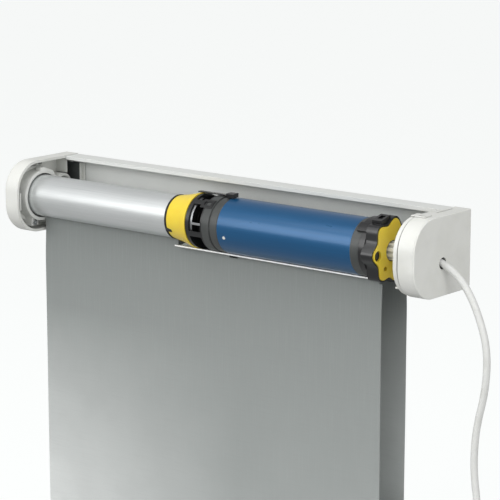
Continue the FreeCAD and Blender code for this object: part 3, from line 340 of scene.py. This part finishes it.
    sheath = Look("lead_sheath", (229, 230, 227), 0.38, Coat_Weight=0.1, Coat_Roughness=0.3,
                  Subsurface_Weight=0.05, Subsurface_Radius=(0.003, 0.003, 0.0025))
    sheath.relief(sheath.noise(0.0045, detail=2.0), 0.00007)
    sheath.relief(sheath.noise(0.0006, detail=3.0), 0.000008)
    sheath.roughen(sheath.noise(0.006, detail=4.0), 0.3, 0.48)
    sheath.tint(sheath.spread(sheath.noise(0.011, detail=4.0), 0.5, 0.8), (219, 220, 216))
    looks["lead_white"] = sheath

    looks["wire"] = moulded("wire_insulation", (70, 70, 74), 0.4, shade=(60, 60, 64))
    looks["shade_fabric"] = woven("shade_cloth")
    hem = Look("hem_powder_coat", (214, 216, 214), 0.42, Coat_Weight=0.12)
    hem.rounded(0.0003)
    hem.relief(hem.noise(0.0010, detail=2.0), 0.00002)
    hem.roughen(hem.noise(0.008, detail=4.0), 0.34, 0.52)
    hem.tint(hem.spread(hem.noise(0.03, detail=3.0), 0.45, 0.8), (204, 207, 205))
    looks["hem_white"] = hem
    return looks


WEAVE = 0.0005  # pitch of the cloth's threads


def woven(name):
    """A plain-woven blackout cloth: crossing threads and slubs, with painted light and shade: darker at the
    top under the roller, lighter lower down and towards the lower left, the rear layer lighter lower down, and
    painted shade in hollows.
    """
    look = Look(name, (136, 141, 139), 0.78, Sheen_Weight=0.2, Sheen_Roughness=0.45)
    # painted shade and light: darker at the top under the roller, lighter lower down
    drop = look.along("Z")
    look.tint(look.spread(drop, -0.02, -0.20), (162, 167, 165))
    look.tint(look.spread(drop, -0.20, -0.36), (186, 191, 189))
    # painted light: lighter towards the lower left
    painted_light_leftward = look.spread(look.along("X"), 0.02, -0.21)
    look.tint(look.maths("MULTIPLY", painted_light_leftward, look.spread(drop, -0.10, -0.33)), (244, 247, 245))
    # painted light: the rear layer is lighter lower down
    painted_light_rear = look.spread(look.along("Y"), -0.022, -0.018)
    look.tint(look.maths("MULTIPLY", painted_light_rear, look.spread(drop, -0.05, -0.16, 0.0, 0.7)), (214, 219, 217))
    # painted shade in hollows, such as under the roller
    look.paint_hollow_shade((70, 74, 72), 0.022, 0.6)
    warp = look.bands(WEAVE, "X", 0.4)
    weft = look.bands(WEAVE, "Z", 0.4)
    over = look.maths("GREATER_THAN", look.maths("MULTIPLY", look.maths("SUBTRACT", warp, 0.5),
                                                 look.maths("SUBTRACT", weft, 0.5)), 0.0)
    threads = look.maths("MAXIMUM", warp, weft)
    slub = look.noise(0.0009, (1, 1, 40), detail=2.0)
    across = look.noise(0.0009, (40, 1, 1), detail=2.0)
    look.relief(threads, 0.00006)
    look.relief(look.maths("ADD", slub, across), 0.00002)
    look.tint(look.maths("MULTIPLY", over, 0.06), (120, 125, 124))
    look.tint(look.spread(slub, 0.5, 0.8, 0.0, 0.07), (200, 204, 202))
    look.tint(look.spread(across, 0.5, 0.8, 0.0, 0.07), (120, 125, 124))
    look.tint(look.spread(look.noise(0.05, detail=3.0), 0.4, 0.75, 0.0, 0.12), (140, 145, 143))
    return look


LOOKS = make_looks()
for entry in frame["record"]["subparts"]:
    node = frame["nodes"][entry["node"]]
    node.data.materials.clear()
    node.data.materials.append(LOOKS[entry["material_slot"]].material)


# ---------------------------------------------------------------- building pieces

def finish_piece(piece, slot, body, smooth=True):
    """Gives a new piece its material, its smooth shading and the body it rides on."""
    if not piece.data.materials:
        piece.data.materials.append(LOOKS[slot].material)
    if smooth and piece.type == "MESH":
        piece.data.polygons.foreach_set("use_smooth", [True] * len(piece.data.polygons))
    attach(piece, body)
    return piece


def mesh_piece(name, points, faces):
    """An object with a mesh of these points and faces."""
    mesh = bpy.data.meshes.new(name)
    mesh.from_pydata([tuple(p) for p in points], [], faces)
    mesh.update()
    piece = bpy.data.objects.new(name, mesh)
    scene.collection.objects.link(piece)
    return piece


def settle(piece):
    """Applies the piece's modifiers."""
    bpy.context.view_layer.update()
    graph = bpy.context.evaluated_depsgraph_get()
    mesh = bpy.data.meshes.new_from_object(piece.evaluated_get(graph))
    piece.modifiers.clear()
    piece.data = mesh
    return piece


def ease(t):
    """Goes smoothly from 0 to 1 as t does, and stays there."""
    t = max(0.0, min(1.0, t))
    return t * t * (3 - 2 * t)


# ---------------------------------------------------------------- the lead

LEAD_RADIUS = 3.0
LEAD_Y = -40.2
LEAD_ROUTE = [
    (225.6, -5.0),
    (238.0, -10.0),
    (251.5, -22.6),
    (262.6, -41.6),
    (272.6, -70.0),
    (271.6, -104.0),
    (262.8, -138.0),
    (261.4, -172.0),
    (266.4, -203.0),
]
TAIL_ROUTE = [
    (256.1, -276.0),
    (255.4, -301.0),
    (252.4, -328.0),
]
TAIL_OFFSET = 15.3
COIL_X, COIL_Z = 228.0, -257.0
LAYERS = (40.1, 34.0, 27.9)  # radii of the coil's three layers
SHIFTS = (9.15, 3.05)  # the turns lie at plus and minus these, beside each other
PER_TURN = 16
TURNS = 10
SWAP = 0.25  # the share of a turn that the lead takes to change its lane or layer
MIDDLE_FROM, INNER_FROM = 3.5, 7.0  # the turns after which the middle and the inner layer begin


def coil_place(turn):
    """The radius and sideways offset of the wound lead after so many turns."""
    outer, middle, inner = LAYERS
    far, near = SHIFTS
    lanes = (-far, -near, near, far)
    inward = (outer - middle) * ease((turn - MIDDLE_FROM) / SWAP)
    further = (middle - inner) * ease((turn - INNER_FROM) / SWAP)
    radius = outer - inward - further
    if turn < 4:
        offset = lanes[0] + sum(2 * near * ease((turn - step - 0.75) / SWAP) for step in range(3))
    elif turn < INNER_FROM + SWAP:
        offset = lanes[3] - sum(2 * near * ease((turn - step - SWAP) / SWAP) for step in (4, 5, 6))
    else:
        across = 2 * far * min(1.0, (turn - INNER_FROM - SWAP) / 2.35)
        offset = -far + across + (TAIL_OFFSET - far) * ease((turn - 9.6) / 0.4)
    return radius, offset


def lead_points():
    """The whole lead's control points: down from the cap, round the coil, and down its tail."""
    swell = 1 / (0.75 + 0.25 * math.cos(math.tau / PER_TURN))  # the spline runs inside its points
    start = coil_place(0.0)[1]
    points = [mm(x, LEAD_Y, z) for x, z in LEAD_ROUTE]
    points.append(mm(268.4, LEAD_Y + 0.55 * start, -222))
    points.append(mm(268.9, LEAD_Y + start, -240))
    for step in range(TURNS * PER_TURN + 1):
        radius, offset = coil_place(step / PER_TURN)
        angle = -math.tau * step / PER_TURN
        points.append(mm(
            COIL_X + swell * radius * math.cos(angle),
            LEAD_Y + offset,
            COIL_Z + swell * radius * math.sin(angle),
        ))
    points += [mm(x, LEAD_Y + TAIL_OFFSET, z) for x, z in TAIL_ROUTE]
    return points


def spline_curve(name, points, radius, rings=8):
    """A round cord on one smooth open spline through the space of its points."""
    curve = bpy.data.curves.new(name, "CURVE")
    curve.dimensions = "3D"
    curve.bevel_depth = radius
    curve.bevel_resolution = rings
    curve.use_fill_caps = True
    spline = curve.splines.new("NURBS")
    spline.points.add(len(points) - 1)
    for knot, point in zip(spline.points, points):
        knot.co = (*point, 1.0)
    spline.order_u = 3
    spline.use_endpoint_u = True
    spline.resolution_u = 6
    piece = bpy.data.objects.new(name, curve)
    scene.collection.objects.link(piece)
    return piece


lead = spline_curve("power_lead", lead_points(), LEAD_RADIUS / 1000)
finish_piece(lead, "lead_white", "cassette")
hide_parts("lead", "lead_coil")


def conductor(name, start, along, side, colour, stripe=None):
    """One stripped core: coloured insulation that splays a little, and a crimped ferrule."""
    bend = (side * 0.35 + along).normalized()
    points = [start - along * 0.004 + side * 0.0012, start + side * 0.00135 + along * 0.003,
              start + side * 0.00165 + along * 0.010, start + side * 0.0021 + along * 0.018]
    core = spline_curve(name, points, 0.0012, 5)
    look = moulded(name + "_insulation", colour, 0.36)
    if stripe:
        look.tint(look.spread(look.bands(0.004, "DIAGONAL"), 0.62, 0.66), stripe)
    core.data.materials.append(look.material)
    finish_piece(core, "wire", "cassette")
    tip = points[-1]
    profile = [(0.0, 0.0), (0.00125, 0.0), (0.0013, 0.0006), (0.0012, 0.0022), (0.0008, 0.0026),
               (0.00074, 0.0040), (0.0008, 0.0048), (0.00072, 0.0060), (0.00078, 0.0086), (0.0, 0.0087)]
    axis = (points[-1] - points[-2]).normalized()
    ferrule = turned(name + "_ferrule", profile, tip - axis * 0.001, axis, 16)
    finish_piece(ferrule, "zinc_steel", "cassette")
    return [core, ferrule]


def turned(name, profile, base, axis, count=48):
    """A piece of revolution from (radius, height) points about an axis."""
    side = axis.orthogonal().normalized()
    other = axis.cross(side)
    points = []
    for radius, height in profile:
        for step in range(count):
            angle = math.tau * step / count
            points.append(base + axis * height + (side * math.cos(angle) + other * math.sin(angle)) * radius)
    faces = []
    for row in range(len(profile) - 1):
        for step in range(count):
            a, b = row * count + step, row * count + (step + 1) % count
            faces.append((a, b, b + count, a + count))
    piece = mesh_piece(name, points, faces)
    bm = bmesh.new()
    bm.from_mesh(piece.data)
    bmesh.ops.remove_doubles(bm, verts=bm.verts, dist=1e-7)
    bmesh.ops.recalc_face_normals(bm, faces=bm.faces)
    bm.to_mesh(piece.data)
    bm.free()
    return piece


tail_end = mm(TAIL_ROUTE[-1][0], LEAD_Y + TAIL_OFFSET, TAIL_ROUTE[-1][1])
tail_way = (tail_end - mm(TAIL_ROUTE[-2][0], LEAD_Y + TAIL_OFFSET, TAIL_ROUTE[-2][1])).normalized()
cores = []
for number, (label, colour, stripe) in enumerate((
    ("core_brown", (104, 62, 38), None),
    ("core_blue", (44, 104, 176), None),
    ("core_earth", (74, 140, 58), (226, 208, 58)),
)):
    turn = math.tau * number / 3
    cores += conductor(label, tail_end, tail_way, Vector((math.cos(turn), math.sin(turn), 0)), colour, stripe)
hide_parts("lead_end")


def strap_tie():
    """A ribbed nylon strap round the coil's turns, with its ratchet head and its tail."""
    middle = mm(COIL_X, LEAD_Y + 3.0, COIL_Z + LAYERS[1])
    half_y, half_z, corner, thick, wide = 0.0159, 0.0096, 0.0034, 0.0011, 0.0046
    loop = []
    for cy, cz, first in ((1, 1, 0), (-1, 1, 90), (-1, -1, 180), (1, -1, 270)):
        for step in range(7):
            angle = math.radians(first + 15 * step)
            loop.append((cy * (half_y - corner) + corner * math.cos(angle),
                         cz * (half_z - corner) + corner * math.sin(angle), angle))
    points, faces = [], []
    for y, z, angle in loop:
        out = Vector((0, math.cos(angle), math.sin(angle)))
        for depth, side in ((0, -1), (0, 1), (thick, 1), (thick, -1)):
            points.append(middle + Vector((side * wide / 2, y, z)) + out * depth)
    count = len(loop)
    for ring in range(count):
        for k in range(4):
            a, b = ring * 4 + k, ring * 4 + (k + 1) % 4
            c, d = ((ring + 1) % count) * 4 + (k + 1) % 4, ((ring + 1) % count) * 4 + k
            faces.append((a, b, c, d))
    tie = mesh_piece("coil_strap", points, faces)
    bevel = tie.modifiers.new("bevel", "BEVEL")
    bevel.width, bevel.segments, bevel.limit_method = 0.0003, 2, "ANGLE"
    settle(tie)
    bm = bmesh.new()
    bm.from_mesh(tie.data)
    top = middle + Vector((0, 0.006, half_z + thick))
    for size, at in (((0.0066, 0.0052, 0.0030), top + Vector((0, 0, 0.0006))),
                     ((0.0044, 0.0060, 0.0010), top + Vector((0, -0.0050, 0.0004)))):
        box = bmesh.ops.create_cube(bm, size=1.0)["verts"]
        bmesh.ops.scale(bm, vec=size, verts=box)
        bmesh.ops.translate(bm, vec=at, verts=box)
        edges = list({edge for vert in box for edge in vert.link_edges})
        bmesh.ops.bevel(bm, geom=edges, offset=0.0004, segments=2, affect="EDGES")
    bmesh.ops.recalc_face_normals(bm, faces=bm.faces)
    bm.to_mesh(tie.data)
    bm.free()
    finish_piece(tie, "black_plastic", "cassette", smooth=False)
    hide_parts("coil_tie")
    return tie


strap = strap_tie()


# ---------------------------------------------------------------- the shade's cloth

SHEET_LEFT, SHEET_RIGHT = -207.1, 174.3
HEM_Y, HEM_Z = -31.0, -345.0
LAYER_REACH = 16.7  # from the hem's axis to the middle of each layer
CLOTH = 0.0005  # thickness in metres
COLUMNS = 110
NARROW_TOP = -19.4  # the cloth leaves the narrow tube here, and the rear strip at the next
REAR_TOP = -20.0
CLEAR = -34.0  # below this nothing turns over the cloth
SLEEVE_FROM, CROWN_FROM = -46.0, 171.5  # the front layer's top edge is lower from these on
ARM_FROM, ARM_TO = 11.9, 21.1
SLEEVE_TOP, ARM_TOP, CROWN_TOP = -26.8, -28.6, -29.5
# two columns a hair apart at each step of the top edge keep it upright
STEP_COLUMNS = [at + side for at in (SLEEVE_FROM, ARM_FROM, ARM_TO, CROWN_FROM) for side in (-0.01, 0.01)]


def thicken(piece):
    """Gives a sheet its cloth's thickness, with crisp rims."""
    thick = piece.modifiers.new("thickness", "SOLIDIFY")
    thick.thickness, thick.offset = CLOTH, 0.0
    settle(piece)
    piece.data.set_sharp_from_angle(angle=math.radians(40))


def cloth_x(column):
    """The place along X of one of the cloth's columns."""
    return SHEET_LEFT + (SHEET_RIGHT - SHEET_LEFT) * column / COLUMNS


def cloth_push(x, z, share):
    """How far the hanging cloth bows out of its plane, in millimetres: slow waves and cupped side edges."""
    slow = 0.45 * noise.noise(Vector((x / 95, z / 160, 3.0)))
    fine = 0.12 * noise.noise(Vector((x / 26, z / 60, 9.0)))
    edge = min(x - SHEET_LEFT, SHEET_RIGHT - x)
    cup = 0.9 * math.exp(-edge / 7.0)
    return (0.55 + slow + fine + cup) * share


def cloth_layer(name, y, out, top_at, foot, rows, columns=()):
    """A hanging stretch of cloth, from top_at along X down to foot, that bows along Y the way out says."""
    xs = sorted(set(columns) | {cloth_x(column) for column in range(COLUMNS + 1)})
    points, faces = [], []
    for row in range(rows + 1):
        for x in xs:
            z = top_at(x) + (foot - top_at(x)) * row / rows
            share = ease((REAR_TOP - z) / 40) * ease((z - HEM_Z) / 30)
            points.append(mm(x, y + out * cloth_push(x, z, share), z))
    wide = len(xs)
    for row in range(rows):
        for step in range(wide - 1):
            a = row * wide + step
            faces.append((a, a + 1, a + 1 + wide, a + wide))
    layer = mesh_piece(name, points, faces)
    thicken(layer)
    return finish_piece(layer, "shade_fabric", "cassette")


def front_top(x):
    """The front layer's top edge: under the narrow tube, the sleeve, the torque arm and the crown's wing."""
    if x < SLEEVE_FROM:
        return NARROW_TOP
    if ARM_FROM < x < ARM_TO:
        return ARM_TOP
    if x < CROWN_FROM:
        return SLEEVE_TOP
    return CROWN_TOP


head = cloth_layer("shade_front_head", HEM_Y - LAYER_REACH, -1, front_top, CLEAR, 4, STEP_COLUMNS)
front = cloth_layer("shade_front", HEM_Y - LAYER_REACH, -1, lambda x: CLEAR, HEM_Z, 86, STEP_COLUMNS)
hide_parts("front_sheet")
rear = cloth_layer("shade_rear", HEM_Y + LAYER_REACH, 1, lambda x: REAR_TOP, HEM_Z, 90)
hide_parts("rear_sheet")


def cloth_loop():
    """The fold of the cloth round the hem tube."""
    points, faces = [], []
    steps = 28
    for step in range(steps + 1):
        angle = math.pi * step / steps
        for column in range(COLUMNS + 1):
            x = cloth_x(column)
            reach = LAYER_REACH + 0.10 * noise.noise(Vector((x / 30, step / 6, 5.0)))
            points.append(mm(x, HEM_Y - reach * math.cos(angle), HEM_Z - reach * math.sin(angle)))
    wide = COLUMNS + 1
    for step in range(steps):
        for column in range(COLUMNS):
            a = step * wide + column
            faces.append((a, a + wide, a + wide + 1, a + 1))
    loop = mesh_piece("shade_fold", points, faces)
    thicken(loop)
    return finish_piece(loop, "shade_fabric", "hem")


fold = cloth_loop()
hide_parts("hem_fabric_loop")
for layer, top in ((front, CLEAR), (rear, REAR_TOP)):
    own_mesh(layer)


# ---------------------------------------------------------------- stage and light

BACKDROP = (249, 251, 250)
STAGE_REACH = 20.0  # near enough for the other views' far clip
FLOOR_GAP = 0.015


def stage_pieces():
    """A plain pale floor that runs out of view, under a dome of the same shade."""
    far = STAGE_REACH
    depth = cad_low.z - FLOOR_GAP
    corners = [(-far, -far, depth), (far, -far, depth), (far, far, depth), (-far, far, depth)]
    floor = mesh_piece("floor", corners, [(0, 1, 2, 3)])
    look = Look("floor_paper", (120, 121, 121), 0.9)
    look.set(look.shader, {"Emission Color": linear(*BACKDROP), "Emission Strength": 0.86})
    floor.data.materials.append(look.material)
    bm = bmesh.new()
    bmesh.ops.create_icosphere(bm, subdivisions=4, radius=far)
    mesh = bpy.data.meshes.new("dome")
    bm.to_mesh(mesh)
    bm.free()
    dome = bpy.data.objects.new("dome", mesh)
    scene.collection.objects.link(dome)
    look = Look("dome_paper", (0, 0, 0), 0.9)
    look.set(look.shader, {"Emission Color": linear(*BACKDROP), "Emission Strength": 1.0})
    mesh.materials.append(look.material)
    for thing in (floor, dome):
        thing.visible_diffuse = False
        thing.visible_glossy = False
        thing.visible_transmission = False
        thing.visible_shadow = False


def area_light(name, place, target, size, power):
    """A rectangular soft light, aimed at a point."""
    light = bpy.data.lights.new(name, "AREA")
    light.shape = "RECTANGLE"
    light.size, light.size_y = size
    light.energy = power
    lamp = bpy.data.objects.new(name, light)
    lamp.location = place
    lamp.rotation_mode = "QUATERNION"
    lamp.rotation_quaternion = (Vector(target) - Vector(place)).to_track_quat("-Z", "Y")
    scene.collection.objects.link(lamp)
    return lamp


stage_pieces()
world = bpy.data.worlds.new("studio")
world.use_nodes = True
world.node_tree.nodes["Background"].inputs["Color"].default_value = (1.0, 1.0, 1.0, 1.0)
world.node_tree.nodes["Background"].inputs["Strength"].default_value = 0.42
scene.world = world
scene.view_settings.view_transform = "Standard"
area_light("key", (-0.5, -1.25, 1.8), (0, 0, -0.05), (1.8, 1.2), 11)
area_light("front", (-0.7, -1.85, 0.75), (0, 0, -0.1), (1.6, 1.1), 16)
area_light("top", (0.1, -0.5, 1.6), (0, 0, -0.05), (1.6, 0.6), 7)
area_light("side", (1.7, -0.9, 0.35), (0.1, 0, -0.05), (1.0, 1.2), 12)
